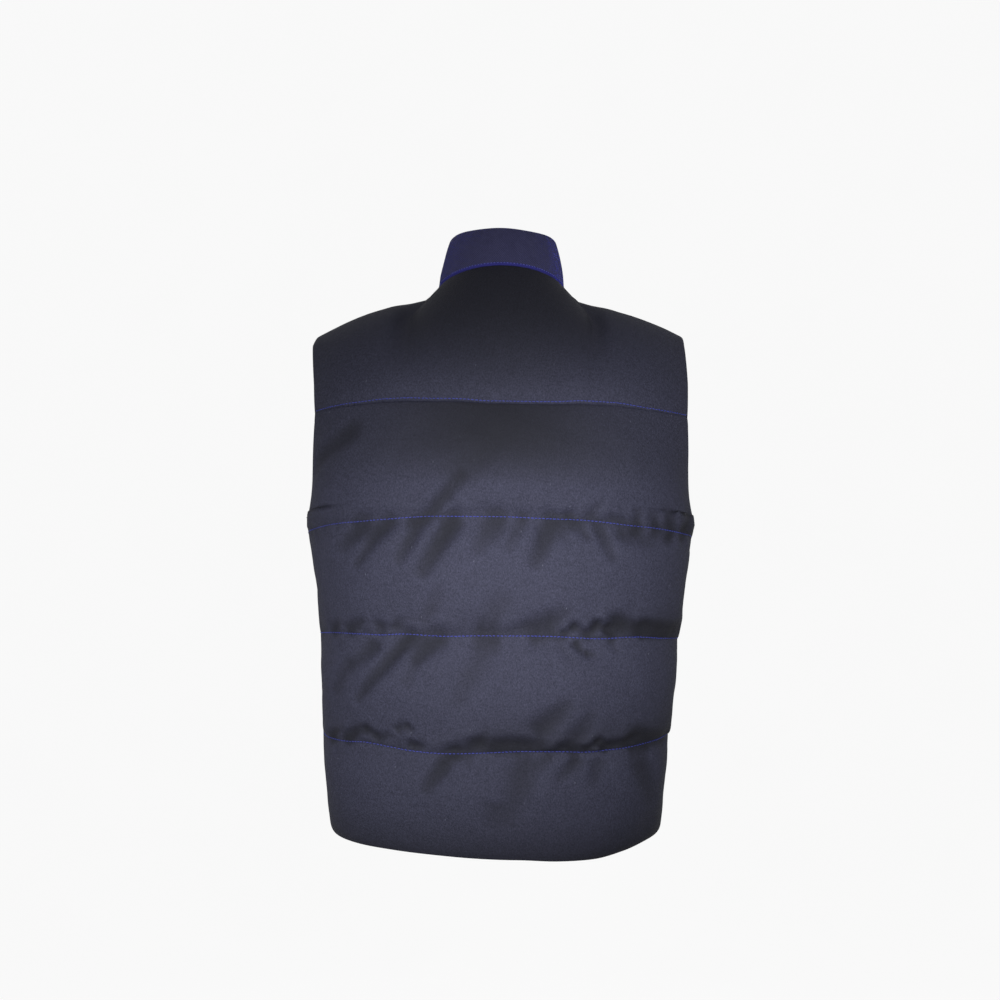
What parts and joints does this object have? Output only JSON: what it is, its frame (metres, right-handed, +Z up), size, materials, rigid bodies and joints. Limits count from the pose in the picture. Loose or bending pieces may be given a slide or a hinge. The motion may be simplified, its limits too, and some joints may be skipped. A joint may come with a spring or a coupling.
{
  "type": "gilet",
  "caption": "Padded sleeveless jacket with horizontal quilting, a plain yoke, a contrasting stand collar and a front zip, filled out as worn.",
  "frame": {"origin": "on the midline, midway between the shoulder seams, level with where their undersides rest on the wearer's shoulders", "axes": "+Z up, the front faces -Y, the wearer's left is at +X"},
  "size_m": [0.4272, 0.2844, 0.6843],
  "materials": {
    "shell": "matte brushed",
    "collar_knit": "matte knitted",
    "zip_tape": "matte woven",
    "zip_metal": "satin, dark plated"
  },
  "bodies": {
    "garment": {"back_body": "shell", "back_yoke": "shell", "front_left": "shell", "front_right": "shell", "collar": "collar_knit", "zip_tape_left": "zip_tape", "zip_tape_right": "zip_tape", "zip_box": "zip_metal", "zip_slider": "zip_metal"},
    "pull_tab": {"zip_pull_tab": "zip_metal"}
  },
  "joints": [
    {"name": "pull_tab_hinge", "type": "hinge", "parent": "garment", "child": "pull_tab", "pos_m": [-0.00028, -0.0855, 0.02216], "axis": [-0.9999, 0.0017, -0.0113], "range_deg": [0, 165]}
  ]
}
